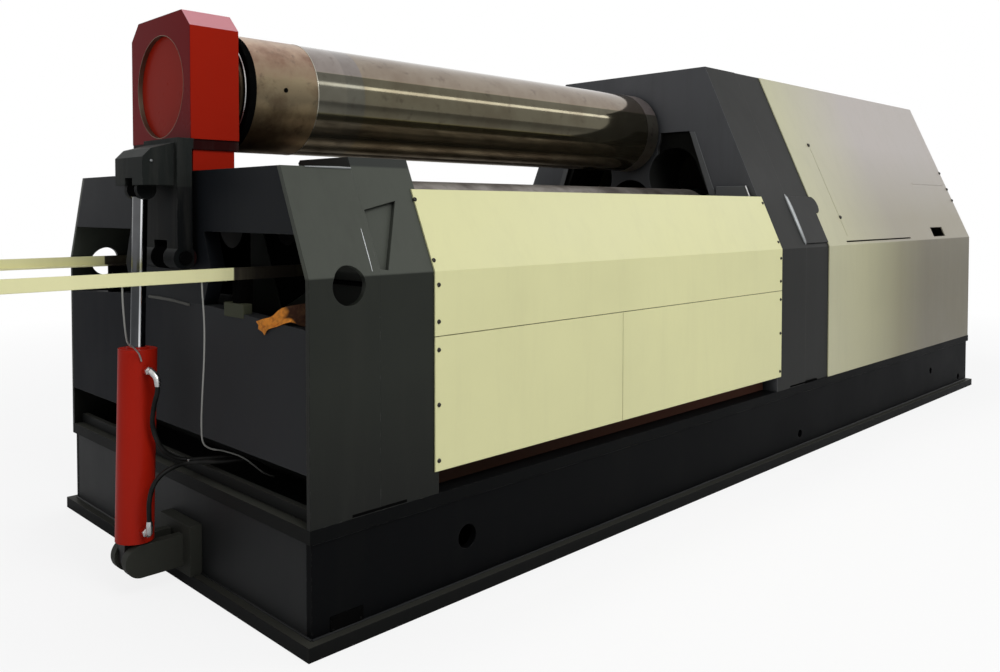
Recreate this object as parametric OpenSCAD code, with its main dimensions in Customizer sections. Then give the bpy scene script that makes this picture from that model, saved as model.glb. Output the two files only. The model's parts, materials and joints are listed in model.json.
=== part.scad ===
// Four-roll plate rolling machine with a tilting drop end.
// X runs along the rolls from the drop end to the drive end, Y across the machine, Z up.
// The origin is the centre of the bed's underside. Places along X are measured from the
// bed's drop end and shifted once, by the module in_place.

/* [Bed] */
// Length of the bed
bed_l = 6500; // [6480:10:6700]
// Width of the bed and of the frames
bed_w = 2080; // [2000:10:2200]
// Height of the bed's top
bed_h = 420; // [400:5:440]
// Thickness of the bed's top plate
bed_top_t = 48; // [30:1:60]
// Height of the bottom flange
flange_h = 50; // [30:1:60]
// How far the bottom flange stands out all round
flange_out = 25; // [10:1:40]
// Thickness of the bed's side walls
bed_wall_t = 30; // [16:1:40]
// How far the bed's walls stand back under the top plate
wall_inset = 12; // [6:1:20]
// Height of the sill bar in the drop end's opening
sill_h = 42; // [30:1:60]
// Thickness of the sill bar
sill_t = 25; // [15:1:40]
// Distance of the sill bar behind the end plate's face
sill_setback = 40; // [30:1:100]

/* [Housing profile] */
// Height at which the sides start to lean in
bend_z = 1241; // [1180:1:1300]
// Lean of the upper sides from the vertical
slant_deg = 24; // [20:0.5:26]
// Height of the drop end's frame
left_top_z = 1618; // [1600:1:1640]
// Height of the drive end's frame and housing
right_top_z = 2340; // [2300:5:2400]

/* [Drop end frame] */
// Length of the drop end's frame along the machine
left_frame_l = 560; // [540:5:580]
// Thickness of the drop end's outer plate
end_plate_t = 60; // [40:1:80]
// Thickness of the drop end's roll bearing plate
left_plate_t = 270; // [240:5:290]
// Thickness of the frames' side skins
skin_t = 20; // [12:1:30]
// Thickness of the frames' top plates
top_plate_t = 40; // [25:1:50]
// Height of the guide ears above the bearing plate
ear_h = 40; // [20:1:60]
// Height of the two windows' upper edge
window_top_z = 1386; // [1360:1:1400]
// Half width of the column between the windows, at their top
column_half_top = 331; // [300:1:340]
// Half width of the column at the bend
column_half_mid = 385; // [350:1:400]
// Half width of the column at its foot
column_half_foot = 322; // [300:1:340]
// Height of the lower plate's top at the sides
lower_plate_top = 1075; // [1050:1:1090]
// Rise of the lower plate's middle above its sides
lower_plate_rise = 30; // [20:1:45]
// Height of the lower plate's underside
lower_plate_foot = 598; // [560:1:640]
// Radius of the access hole through the side skin
access_r = 68; // [40:1:75]
// Place of the access hole along the machine
access_x = 160; // [130:1:190]
// Height of the access hole's centre
access_z = 1212; // [1190:1:1230]
// Depth of the tapered pocket in the bearing plate's side
pocket_d = 18; // [8:1:30]

/* [Drive end frame] */
// Distance between the two frames
bay_l = 2604; // [2560:2:2640]
// Thickness of the drive end's bearing plate
right_plate_t = 351; // [330:1:370]
// Length of the skinned part behind the bearing plate
gear_bay_l = 316; // [300:1:340]
// How far that skin stands back from the bearing plate
skin_inset = 6; // [2:1:15]
// Depth of the panel recess on the bearing plate's inner face
panel_recess_d = 20; // [10:1:30]
// Height of the stiffening pad's lower edge on that skin
pad_z = 1266; // [1250:1:1280]
// Height of the stiffening pad on the slanted side
pad_h = 285; // [240:1:300]
// Thickness of the stiffening pad
pad_t = 9; // [7:0.5:12]

/* [Rolls] */
// Radius of the top roll
top_roll_r = 245; // [235:1:250]
// Length of the top roll's collar at the drop end
collar_l = 318; // [260:2:340]
// How far that collar stands above the roll
collar_rise = 1.5; // [0.5:0.5:4]
// Height of the top roll's axis
top_roll_z = 1961; // [1955:1:1975]
// Radius of the bottom roll
bottom_roll_r = 198; // [180:1:198]
// Height of the bottom roll's axis with the roll down
bottom_roll_z = 1408; // [1395:1:1408]
// Radius of the two side rolls
side_roll_r = 172; // [160:1:172]
// Distance of a side roll's axis from the middle with the roll down
side_roll_y = 440; // [436:1:450]
// Height of a side roll's axis with the roll down
side_roll_z = 1423; // [1415:1:1430]
// Travel of a side roll along its slanted guide
side_lift = 280; // [200:5:285]
// Travel of the bottom roll
bottom_lift = 80; // [50:1:82]
// Gap from the rolls' ends to the frames
roll_end_gap = 39; // [20:1:60]
// Radius of the top roll's journal at the drive end
top_journal_r = 150; // [130:1:160]
// Radius of the bottom roll's journals
bottom_journal_r = 105; // [90:1:115]
// Radius of the side rolls' journals
side_journal_r = 95; // [80:1:105]
// Radius of the bottom roll's bearing blocks
bottom_block_r = 170; // [150:1:172]
// Radius of the side rolls' bearing blocks
side_block_r = 175; // [160:1:178]
// Length of a bearing block below its roll's axis
block_tail = 300; // [200:5:340]
// Gap from a bearing block to its guide
guide_clear = 0.4; // [0.3:0.1:0.6]
// Gap around a journal in its bearing
journal_clear = 0.3; // [0.2:0.05:0.4]

/* [Drop end] */
// Half width of the bearing housing
housing_half_w = 263; // [255:1:275]
// Height of the bearing housing
housing_h = 502; // [490:1:515]
// Length of the bearing housing along the machine
housing_l = 205; // [190:1:215]
// Overhang of the bearing housing outside the end plate
housing_out = 15; // [5:1:25]
// Chamfer on the bearing housing's top edges
housing_chamfer = 68; // [40:1:90]
// Thickness of the tilting foot plate under the housing
foot_plate_t = 40; // [30:1:50]
// Height of the seat block on the frame
seat_h = 82; // [70:1:95]
// Gap between the seat and the foot plate
seat_gap = 0.3; // [0.2:0.1:0.6]
// Radius of the round recess in the housing's outer face
recess_r = 206; // [190:1:215]
// Depth of that recess
recess_d = 35; // [20:1:50]
// Radius of the tapered journal's small end
taper_small_r = 110; // [100:1:120]
// Radius of the tapered journal's large end
taper_large_r = 165; // [160:1:175]
// Distance of the tilt hinge outside the end plate
hinge_out = 52; // [50:1:60]
// Height of the tilt hinge
hinge_z = 1285; // [1275:1:1295]
// Radius of the hinge lugs
hinge_lug_r = 46; // [40:1:46]
// Radius of the hinge pin
hinge_pin_r = 25; // [20:1:30]
// Thickness of the tilting leg
leg_t = 60; // [50:1:60]
// Place of the leg and the tilt cylinder across the machine
lever_y = -140; // [-150:1:-130]
// Width of the tilting leg
leg_w = 290; // [270:1:300]
// Width of the opening between the leg's two feet
leg_slot_w = 110; // [90:1:120]

/* [Tilt cylinder] */
// Distance of the cylinder's lower pivot outside the bed
lower_pivot_out = 200; // [195:1:210]
// Height of the cylinder's lower pivot
lower_pivot_z = 140; // [135:1:150]
// Distance of the rod's pivot outside the end plate
upper_pivot_out = 160; // [155:1:165]
// Height of the rod's pivot
upper_pivot_z = 1545; // [1540:1:1550]
// Radius of the cylinder's barrel
barrel_r = 71; // [65:1:80]
// Distance from the lower pivot to the barrel's top
barrel_top = 800; // [760:5:820]
// Radius of the rod
rod_r = 27.5; // [22:0.5:30]
// Gap around the rod and the pivot pins
rod_clear = 0.05; // [0.02:0.01:0.1]
// Radius of the rod's eye
eye_r = 38; // [34:1:40]
// Radius of the lower bracket's cheeks
cheek_r = 62; // [55:1:64]
// Thickness of each cheek
cheek_t = 38; // [30:1:45]
// Gap between parts that pass each other at the pivots
pivot_gap = 5; // [5:0.5:7]

/* [Covers] */
// Thickness of the bay's cover sheets
cover_t = 6; // [4:0.5:10]
// Height of the covers' lower edge
cover_foot_z = 504; // [490:1:530]
// Height of the seam between upper and lower covers
cover_seam_z = 1004; // [980:1:1030]
// Height of the upper covers' top edge
cover_top_z = 1545; // [1530:1:1550]
// Place of the joint between the lower covers
cover_joint_x = 1678; // [1600:1:1750]
// Gap between neighbouring cover sheets
seam_gap = 3; // [2:0.5:5]
// Overlap of the covers on the drop end's frame
cover_lap_left = 22; // [15:1:30]
// Overlap of the covers on the drive end's frame
cover_lap_right = 35; // [20:1:45]
// Width of the covers' top lip
cover_lip = 45; // [30:1:60]
// Thickness of the drive housing's sheets
drive_sheet_t = 8; // [5:1:12]
// Distance of the drive housing from the bed's end
drive_end_gap = 13; // [5:1:30]
// Radius of the notch in the drive housing's edge
notch_r = 52; // [40:1:60]
// Gap between the stiffening pad's round lobe and that notch
lobe_gap = 4; // [3:0.5:8]
// Height of the tie beams in the bay
beam_h = 110; // [80:1:130]
// Width of the tie beams
beam_w = 90; // [60:1:120]

/* [Guide rails] */
// Distance of the two rails from the middle
rail_y = 580; // [570:1:600]
// Height of the rails' underside
rail_z = 1215; // [1200:1:1220]
// Height of a rail
rail_h = 45; // [35:1:50]
// Leg thickness of a rail
rail_t = 6; // [5:0.5:8]
// Width of a rail
rail_w = 40; // [30:1:50]
// How far the rails stand out of the drop end
rail_out = 950; // [800:10:1000]

/* [Hidden] */

$fn = 72;

// Colours
dark_grey = [0.2, 0.21, 0.21];
cream = [0.88, 0.87, 0.68];
bright_red = [0.6, 0.08, 0.05];
steel = [0.45, 0.4, 0.36];
chrome_grey = [0.75, 0.76, 0.78];
red_oxide = [0.3, 0.12, 0.09];
hose_black = [0.05, 0.05, 0.05];

// Places along the machine, from the bed's drop end
left_plate_x = left_frame_l - left_plate_t;
right_frame_x = left_frame_l + bay_l;
right_skin_x = right_frame_x + right_plate_t;
drive_x = right_skin_x + gear_bay_l;
drive_l = bed_l - drive_end_gap - drive_x;
roll_x0 = left_frame_l + roll_end_gap;
roll_x1 = right_frame_x - roll_end_gap;

// Heights of the lower plate's middle and of the drop end's stack
lower_plate_mid = lower_plate_top + lower_plate_rise;
seat_top_z = left_top_z + seat_h;
foot_plate_z = seat_top_z + seat_gap;
housing_z = foot_plate_z + foot_plate_t;

// Half the width of the frames at a height, and their face moved out by a distance
function half_w(z) = bed_w / 2 - max(0, z - bend_z) * tan(slant_deg);
function face_y(z, out) = half_w(z) + (z > bend_z ? out / cos(slant_deg) : out);
function face_line(z0, z1, out) = concat([[face_y(z0, out), z0]],
    z0 < bend_z && z1 > bend_z ? [[bed_w / 2 + out, bend_z + out * tan(slant_deg / 2)]] : [],
    [[face_y(z1, out), z1]]);
function reversed(v) = [for (i = [len(v) - 1:-1:0]) v[i]];
function mirrored(v) = [for (p = v) [-p[0], p[1]]];

// A shape drawn in Y and Z, pulled along the machine from x
module along_x(x, l) translate([x, 0, 0]) rotate([90, 0, 90]) linear_extrude(l) children();
// A shape drawn in X and Z, pulled across the machine around y
module across_y(y, w) translate([0, y + w / 2, 0]) rotate([90, 0, 0]) linear_extrude(w) children();
module rod_x(x, l, r, z, y = 0) translate([x, y, z]) rotate([0, 90, 0]) cylinder(h = l, r = r);
module rod_y(x, y, w, r, z) translate([x, y + w / 2, z]) rotate([90, 0, 0]) cylinder(h = w, r = r);
module in_place() translate([-bed_l / 2, 0, 0]) children();
module front_side() mirror([0, 1, 0]) children();

// The whole outline of a frame between two heights, its sides moved out by a distance
module frame_outline(z0, z1, out = 0)
    polygon(concat(face_line(z0, z1, out), reversed(mirrored(face_line(z0, z1, out)))));

// A sheet that follows the rear side's outline, between two distances from it
module face_sheet(x, l, z0, z1, out0, out1)
    along_x(x, l) polygon(concat(face_line(z0, z1, out1), reversed(face_line(z0, z1, out0))));

// Bed
module bed_flange() color(dark_grey) in_place()
    translate([-flange_out, -bed_w / 2 - flange_out, 0])
        cube([bed_l + 2 * flange_out, bed_w + 2 * flange_out, flange_h]);

module bed_long_wall() color(dark_grey) in_place()
    translate([wall_inset, bed_w / 2 - wall_inset - bed_wall_t, flange_h])
        difference() {
            cube([bed_l - 2 * wall_inset, bed_wall_t, bed_h - bed_top_t - flange_h]);
            for (p = drain_holes)
                translate([p[0] - wall_inset, bed_wall_t + 1, p[1] - flange_h])
                    rotate([90, 0, 0]) cylinder(h = bed_wall_t + 2, r = p[2]);
        }

// Holes through the bed's long walls: place, height and radius
drain_holes = [[716, 216, 46], [3480, 120, 24], [5666, 224, 24], [6300, 96, 24]];

module bed_rear_wall() bed_long_wall();
module bed_front_wall() front_side() bed_long_wall();

module bed_cross_wall(x) color(dark_grey) in_place()
    translate([x, -bed_w / 2 + wall_inset + bed_wall_t, flange_h])
        cube([bed_wall_t, bed_w - 2 * (wall_inset + bed_wall_t), bed_h - bed_top_t - flange_h]);

module bed_left_wall() bed_cross_wall(wall_inset);
module bed_right_wall() bed_cross_wall(bed_l - wall_inset - bed_wall_t);

module bed_top_plate() color(dark_grey) in_place()
    translate([0, -bed_w / 2, bed_h - bed_top_t]) cube([bed_l, bed_w, bed_top_t]);

// Drop end frame
module left_sill() color(dark_grey) in_place()
    translate([sill_setback, -bed_w / 2 + skin_t, bed_h])
        cube([sill_t, bed_w - 2 * skin_t, sill_h]);

module left_end_plate() color(dark_grey) in_place() {
    column = [[column_half_top, window_top_z], [column_half_mid, bend_z], [column_half_foot, lower_plate_mid]];
    edge = concat([[face_y(left_top_z, -skin_t), left_top_z], [face_y(window_top_z, -skin_t), window_top_z]], column);
    along_x(0, end_plate_t) polygon(concat(edge, reversed(mirrored(edge))));
}

module left_lower_plate() color(dark_grey) in_place() {
    side = bed_w / 2 - skin_t;
    edge = [[side, lower_plate_foot], [side, lower_plate_top], [column_half_mid, lower_plate_mid]];
    along_x(0, end_plate_t) polygon(concat(edge, reversed(mirrored(edge))));
}

module left_skin() color(dark_grey) in_place()
    difference() {
        face_sheet(0, left_plate_x, bed_h, left_top_z, -skin_t, 0);
        rod_y(access_x, bed_w / 2, 8 * skin_t, access_r, access_z);
    }

module left_rear_skin() left_skin();
module left_front_skin() front_side() left_skin();

module left_top_plate() color(dark_grey) in_place()
    along_x(end_plate_t, left_plate_x - end_plate_t) frame_outline(left_top_z - top_plate_t, left_top_z, -skin_t);

// The line that a side roll's axis follows, s from its lowest place
function side_axis(s) = [side_roll_y - s * sin(slant_deg), side_roll_z + s * cos(slant_deg)];

// The outline of a slanted guide, wide enough for the block of radius r from s0 to s1
module slanted_guide(r, s0, s1) translate(side_axis(0)) rotate(slant_deg) {
    translate([-r, s0]) square([2 * r, s1 - s0]);
    translate([0, s1]) circle(r);
}

module upright_guide(r, s0, s1) translate([0, bottom_roll_z]) {
    translate([-r, s0]) square([2 * r, s1 - s0]);
    translate([0, s1]) circle(r);
}

// Slots that carry the three lower rolls' bearing blocks
module guide_slots() {
    upright_guide(bottom_block_r + guide_clear, -block_tail - pivot_gap, bottom_lift + pivot_gap);
    for (side = [0, 1])
        mirror([side, 0])
            slanted_guide(side_block_r + guide_clear, -block_tail - pivot_gap, side_lift + pivot_gap);
}

// A tapered pocket in the rear slanted side, from its wide top to its narrow foot
pocket = [[8, 1467], [160, 1500], [42, 1256], [8, 1262]];
module tapered_pocket() translate([left_plate_x, 0, 0])
    multmatrix([[1, 0, 0, 0], [0, 1, -tan(slant_deg), bed_w / 2 + bend_z * tan(slant_deg)], [0, 0, 1, 0], [0, 0, 0, 1]])
        translate([0, 1, 0]) rotate([90, 0, 0]) linear_extrude(pocket_d + 1) polygon(pocket);

module left_bearing_plate() color(dark_grey) in_place()
    difference() {
        along_x(left_plate_x, left_plate_t) difference() {
            frame_outline(bed_h, left_top_z + ear_h);
            guide_slots();
            ear_gap();
        }
        tapered_pocket();
        front_side() tapered_pocket();
    }

// What is taken away between the two ears, down to the plate's top
ear_end_y = 545;
module ear_gap() polygon([[-ear_end_y, left_top_z + ear_h + 1], [ear_end_y, left_top_z + ear_h + 1],
    [ear_end_y - ear_h, left_top_z], [ear_h - ear_end_y, left_top_z]]);

// Drop end: seat, hinge, housing and lever
seat_inset = 13;
module drop_end_seat() color(bright_red) in_place()
    translate([0, -housing_half_w + seat_inset, left_top_z])
        cube([housing_l - 2 * housing_out, 2 * (housing_half_w - seat_inset), seat_h]);

lug_w = leg_slot_w - 2 * pivot_gap;
module hinge_bracket() color(dark_grey) in_place()
    difference() {
        across_y(lever_y, lug_w) {
            translate([-hinge_out, hinge_z]) circle(hinge_lug_r);
            translate([-hinge_out, hinge_z - hinge_lug_r]) square([hinge_out, 2 * hinge_lug_r]);
        }
        rod_y(-hinge_out, lever_y, lug_w + 2, hinge_pin_r, hinge_z);
    }

pin_out = 8;
module hinge_pin() color(steel) in_place()
    rod_y(-hinge_out, lever_y, leg_w + 2 * pin_out, hinge_pin_r, hinge_z);

module drop_end_housing() color(bright_red) in_place()
    difference() {
        along_x(-housing_out, housing_l) polygon([[-housing_half_w, housing_z], [housing_half_w, housing_z],
            [housing_half_w, housing_z + housing_h - housing_chamfer],
            [housing_half_w - housing_chamfer, housing_z + housing_h],
            [housing_chamfer - housing_half_w, housing_z + housing_h],
            [-housing_half_w, housing_z + housing_h - housing_chamfer]]);
        rod_x(-housing_out - 1, recess_d + 1, recess_r, top_roll_z);
        journal_taper(journal_clear);
    }

// The tapered journal of the top roll, grown all round by a clearance
taper_l = 100;
taper_x = 200;
taper_slope = (taper_large_r - taper_small_r) / taper_l;
module journal_taper(gap) {
    grow = gap * sqrt(1 + taper_slope * taper_slope);
    translate([taper_x - taper_l - gap, 0, top_roll_z]) rotate([0, 90, 0])
        cylinder(h = taper_l + gap, r1 = taper_small_r + grow - gap * taper_slope, r2 = taper_large_r + grow);
}

// The cover on the housing's bearing, a plain disc that fills the recess
cover_disc_t = 16;
cover_disc_gap = 0.5;
module bearing_cover() color(bright_red) in_place()
    rod_x(recess_d - housing_out - cover_disc_t, cover_disc_t, recess_r - cover_disc_gap, top_roll_z);

// The arm block over the rod: outer end, width, underside, and its bevelled and sloping top
arm_out = 205;
arm_w = 246;
arm_foot_z = 1560;
arm_bevel = 33;
arm_nose_z = 1697;
arm_root_z = 1722;
module arm_outline()
    polygon([[-hinge_out, arm_foot_z], [-arm_out, arm_foot_z], [-arm_out, arm_nose_z - arm_bevel],
        [arm_bevel - arm_out, arm_nose_z], [-hinge_out - leg_t / 2, arm_root_z], [-hinge_out, arm_root_z]]);

// The lever's ears beside the rod's eye, and the slots for the eye and the hinge lug
eye_w = 2 * rod_r;
eye_gap_w = eye_w + 2 * pivot_gap;
ear_t = 25;
eye_slot_wall = 10;
eye_slot_x = hinge_out + leg_t / 2 + eye_slot_wall;
leg_slot_rise = 20;
foot_plate_inset = 5;
module drop_end_lever() color(dark_grey) in_place()
    difference() {
        union() {
            translate([-housing_out, foot_plate_inset - housing_half_w, foot_plate_z])
                cube([housing_l, 2 * (housing_half_w - foot_plate_inset), foot_plate_t]);
            translate([-hinge_out - leg_t / 2, lever_y - leg_w / 2, foot_plate_z])
                cube([hinge_out + leg_t / 2 - housing_out + 1, leg_w, foot_plate_t]);
            translate([-hinge_out - leg_t / 2, lever_y - leg_w / 2, hinge_z])
                cube([leg_t, leg_w, foot_plate_z - hinge_z + foot_plate_t / 2]);
            rod_y(-hinge_out, lever_y, leg_w, hinge_lug_r, hinge_z);
            across_y(lever_y, arm_w) arm_outline();
            rod_y(-upper_pivot_out, lever_y, eye_gap_w + 2 * ear_t, eye_r, upper_pivot_z);
        }
        across_y(lever_y, leg_slot_w)
            translate([-hinge_out - hinge_lug_r - 1, hinge_z - hinge_lug_r - 1])
                square([2 * hinge_lug_r + 2, 2 * hinge_lug_r + 1 + leg_slot_rise]);
        rod_y(-hinge_out, lever_y, leg_w + 2, hinge_pin_r + rod_clear, hinge_z);
        across_y(lever_y, eye_gap_w)
            translate([-arm_out - 1, upper_pivot_z - eye_r - 1])
                square([arm_out + 1 - eye_slot_x, 2 * eye_r + 1 + pivot_gap]);
    }

// Tilt cylinder
cylinder_dx = lower_pivot_out - upper_pivot_out;
cylinder_dz = upper_pivot_z - lower_pivot_z;
cylinder_lean = atan(cylinder_dx / cylinder_dz);
cylinder_len = norm([cylinder_dx, cylinder_dz]);
module along_cylinder() in_place()
    translate([-lower_pivot_out, lever_y, lower_pivot_z]) rotate([0, cylinder_lean, 0]) children();

bracket_plate_t = 50;
bracket_plate_w = 260;
bracket_plate_h = 195;
lower_eye_w = 56;
lower_pin_r = 24;
module cylinder_bracket() color(dark_grey) in_place() {
    translate([wall_inset - bracket_plate_t, lever_y - bracket_plate_w / 2, flange_h])
        cube([bracket_plate_t, bracket_plate_w, bracket_plate_h]);
    for (side = [-1, 1])
        across_y(lever_y + side * (lower_eye_w / 2 + pivot_gap + cheek_t / 2), cheek_t) {
            translate([-lower_pivot_out, lower_pivot_z]) circle(cheek_r);
            translate([-lower_pivot_out, lower_pivot_z - cheek_r])
                square([lower_pivot_out + wall_inset - bracket_plate_t, 2 * cheek_r]);
        }
    rod_y(-lower_pivot_out, lever_y, lower_eye_w + 2 * (pivot_gap + cheek_t), lower_pin_r, lower_pivot_z);
}

lower_eye_r = 50;
gland_h = 6;
gland_r = 42;
port_r = 14;
port_out = 26;
// Distances of the two hose ports from the lower pivot
upper_port = 725;
lower_port = 118;
barrel_foot = cheek_r + pivot_gap;
barrel_base_t = 45;
bore_foot = barrel_foot + barrel_base_t;
module cylinder_barrel() color(bright_red) along_cylinder()
    difference() {
        union() {
            translate([0, 0, barrel_foot]) cylinder(h = barrel_top - barrel_foot, r = barrel_r);
            translate([0, 0, barrel_top]) cylinder(h = gland_h, r = gland_r);
            translate([-lower_eye_r, -lower_eye_w / 2, 0]) cube([2 * lower_eye_r, lower_eye_w, barrel_foot + 1]);
            rod_y(0, 0, lower_eye_w, lower_eye_r, 0);
            for (z = [upper_port, lower_port])
                translate([0, 0, z]) rotate([90, 0, 0]) cylinder(h = barrel_r + port_out, r = port_r);
        }
        translate([0, 0, bore_foot]) cylinder(h = barrel_top, r = rod_r + rod_clear);
        rod_y(0, 0, lower_eye_w + 2, lower_pin_r + rod_clear, 0);
    }

rod_inside = 300;
module cylinder_rod() color(chrome_grey) along_cylinder()
    difference() {
        union() {
            translate([0, 0, barrel_top - rod_inside]) cylinder(h = cylinder_len - barrel_top + rod_inside - eye_r / 2, r = rod_r);
            rod_y(0, 0, eye_w, eye_r, cylinder_len);
        }
        rod_y(0, 0, eye_w + 2, eye_r / 2, cylinder_len);
    }

// Rolls
neck_r = 195;
neck_l = 24;
roll_left_end = 262;
module top_roll() color(steel) in_place() {
    rod_x(roll_left_end, roll_x1 - roll_left_end, top_roll_r, top_roll_z);
    rod_x(roll_left_end, collar_l, top_roll_r + collar_rise, top_roll_z);
    rod_x(roll_left_end - neck_l, neck_l, neck_r, top_roll_z);
    rod_x(taper_x, roll_left_end - neck_l - taper_x, taper_large_r, top_roll_z);
    journal_taper(0);
    rod_x(roll_x1, roll_end_gap + right_plate_t, top_journal_r, top_roll_z);
}

journal_inset = 6;
module lower_roll(r, journal_r, y, z) color(steel) in_place() {
    rod_x(roll_x0, roll_x1 - roll_x0, r, z, y);
    rod_x(left_plate_x + journal_inset, roll_x0 - left_plate_x - journal_inset, journal_r, z, y);
    rod_x(roll_x1, roll_end_gap + right_plate_t - panel_recess_d, journal_r, z, y);
}

module bottom_roll() lower_roll(bottom_roll_r, bottom_journal_r, 0, bottom_roll_z);
module rear_side_roll() lower_roll(side_roll_r, side_journal_r, side_roll_y, side_roll_z);
module front_side_roll() lower_roll(side_roll_r, side_journal_r, -side_roll_y, side_roll_z);

block_inset = 4;
module bottom_block(x, l) color(dark_grey) in_place()
    along_x(x, l) difference() {
        upright_guide(bottom_block_r, -block_tail, 0);
        translate([0, bottom_roll_z]) circle(bottom_journal_r + journal_clear);
    }

module side_block(x, l) color(dark_grey) in_place()
    along_x(x, l) difference() {
        slanted_guide(side_block_r, -block_tail, 0);
        translate(side_axis(0)) circle(side_journal_r + journal_clear);
    }

left_block_x = left_plate_x + block_inset;
left_block_l = left_plate_t - 2 * block_inset;
right_block_x = right_frame_x + panel_recess_d + block_inset;
right_block_l = right_plate_t - panel_recess_d - 2 * block_inset;
module bottom_left_block() bottom_block(left_block_x, left_block_l);
module bottom_right_block() bottom_block(right_block_x, right_block_l);
module rear_left_block() side_block(left_block_x, left_block_l);
module rear_right_block() side_block(right_block_x, right_block_l);
module front_left_block() front_side() side_block(left_block_x, left_block_l);
module front_right_block() front_side() side_block(right_block_x, right_block_l);

// Drive end frame
recess_top_z = 1955;
recess_inner_y = 215;
recess_outer_y = 444;
bearing_boss_r = 235;
// The recess beside each slanted guide on the inner face, clear of the top roll's bearing boss
module panel_recess() difference() {
    polygon([[recess_inner_y, recess_top_z], [recess_outer_y, recess_top_z],
        [recess_outer_y + (recess_top_z - bend_z) * tan(slant_deg), bend_z],
        [side_roll_y - side_block_r, bend_z], [recess_inner_y, side_roll_z]]);
    translate([0, top_roll_z]) circle(bearing_boss_r);
}

module right_bearing_plate() color(dark_grey) in_place()
    difference() {
        along_x(right_frame_x, right_plate_t) difference() {
            frame_outline(bed_h, right_top_z);
            guide_slots();
            translate([0, top_roll_z]) circle(top_journal_r + journal_clear);
        }
        for (side = [0, 1])
            mirror([0, side, 0]) along_x(right_frame_x - 1, panel_recess_d + 1) panel_recess();
    }

// The skin with its stiffening pad, whose round lobe lies in the drive housing's notch
notch_z = 1498;
notch_x = drive_x + notch_r / 3;
pad_gap = 10;
module right_skin() color(dark_grey) in_place() {
    face_sheet(right_skin_x, gear_bay_l, bed_h, right_top_z, -skin_t - skin_inset, -skin_inset);
    intersection() {
        face_sheet(right_skin_x, gear_bay_l + 2 * notch_r, pad_z, pad_z + pad_h,
            -skin_inset - skin_t / 2, pad_t - skin_inset);
        union() {
            translate([right_skin_x + pad_gap, 0, pad_z - 1]) cube([gear_bay_l - pad_gap, bed_w, pad_h + 2]);
            rod_y(notch_x, half_w(notch_z), 4 * notch_r, notch_r - lobe_gap, notch_z);
        }
    }
}
module right_rear_skin() right_skin();
module right_front_skin() front_side() right_skin();

module right_top_plate() color(dark_grey) in_place()
    along_x(right_skin_x, gear_bay_l) frame_outline(right_top_z - top_plate_t, right_top_z, -skin_t - skin_inset);

// Bay: tie beams and covers
module tie_beam() color(red_oxide) in_place()
    translate([left_frame_l, bed_w / 2 - 2 * beam_w, bed_h]) cube([bay_l, beam_w, beam_h]);
module rear_tie_beam() tie_beam();
module front_tie_beam() front_side() tie_beam();

cover_x0 = left_frame_l - cover_lap_left;
cover_x1 = right_frame_x + cover_lap_right;
module upper_cover() color(cream) in_place() {
    face_sheet(cover_x0, cover_x1 - cover_x0, cover_seam_z, cover_top_z, 0, cover_t);
    translate([left_frame_l, face_y(cover_top_z, 0) - cover_lip, cover_top_z - cover_t])
        cube([bay_l, cover_lip + 1, cover_t]);
}
module lower_cover(x0, x1) color(cream) in_place()
    face_sheet(x0, x1 - x0, cover_foot_z, cover_seam_z - seam_gap, 0, cover_t);

module rear_upper_cover() upper_cover();
module front_upper_cover() front_side() upper_cover();
module rear_lower_left_cover() lower_cover(cover_x0, cover_joint_x);
module rear_lower_right_cover() lower_cover(cover_joint_x + seam_gap, cover_x1);
module front_lower_left_cover() front_side() lower_cover(cover_x0, cover_joint_x);
module front_lower_right_cover() front_side() lower_cover(cover_joint_x + seam_gap, cover_x1);

// Drive housing, with a long air slit and a square port: place, height, length and height of each
drive_openings = [[4105, 1258, 1105, 9], [5691, 1262, 253, 70]];
module drive_side() color(cream) in_place()
    difference() {
        face_sheet(drive_x, drive_l, bed_h, right_top_z, -drive_sheet_t, 0);
        rod_y(notch_x, half_w(notch_z), 4 * notch_r, notch_r, notch_z);
        for (o = drive_openings)
            translate([o[0], half_w(o[1] + o[3]) - 2 * drive_sheet_t, o[1]])
                cube([o[2], bed_w / 2, o[3]]);
    }
module drive_rear_cover() drive_side();
module drive_front_cover() front_side() drive_side();

module drive_roof() color(cream) in_place()
    along_x(drive_x, drive_l) frame_outline(right_top_z - drive_sheet_t, right_top_z, -drive_sheet_t);

module drive_end_cover() color(cream) in_place()
    along_x(drive_x + drive_l - drive_sheet_t, drive_sheet_t)
        frame_outline(bed_h, right_top_z - drive_sheet_t, -drive_sheet_t);

// Guide rails, of angle section, welded to the bearing plate
shelf_x = 235;
shelf_l = 40;
shelf_t = 12;
rail_l = rail_out + shelf_x + shelf_l;
module rail() color(cream) in_place() {
    translate([-rail_out, rail_y, rail_z]) cube([rail_l, rail_t, rail_h]);
    translate([-rail_out, rail_y + rail_t - rail_w, rail_z]) cube([rail_l, rail_w, rail_t]);
}
module rear_rail() rail();
module front_rail() front_side() rail();

// What carries a rail: a post on the lower plate and a shelf on the side skin
function lower_plate_z(y) = lower_plate_mid
    - (lower_plate_mid - lower_plate_top) * (y - column_half_mid) / (bed_w / 2 - skin_t - column_half_mid);
module rail_supports() color(dark_grey) in_place() {
    y0 = rail_y + rail_t - rail_w;
    y1 = rail_y + rail_t;
    along_x(0, end_plate_t)
        polygon([[y0, lower_plate_z(y0)], [y1, lower_plate_z(y1)], [y1, rail_z], [y0, rail_z]]);
    translate([shelf_x, y0, rail_z - shelf_t]) cube([shelf_l, bed_w / 2 - skin_t - y0, shelf_t]);
}
module rear_rail_supports() rail_supports();
module front_rail_supports() front_side() rail_supports();

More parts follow.
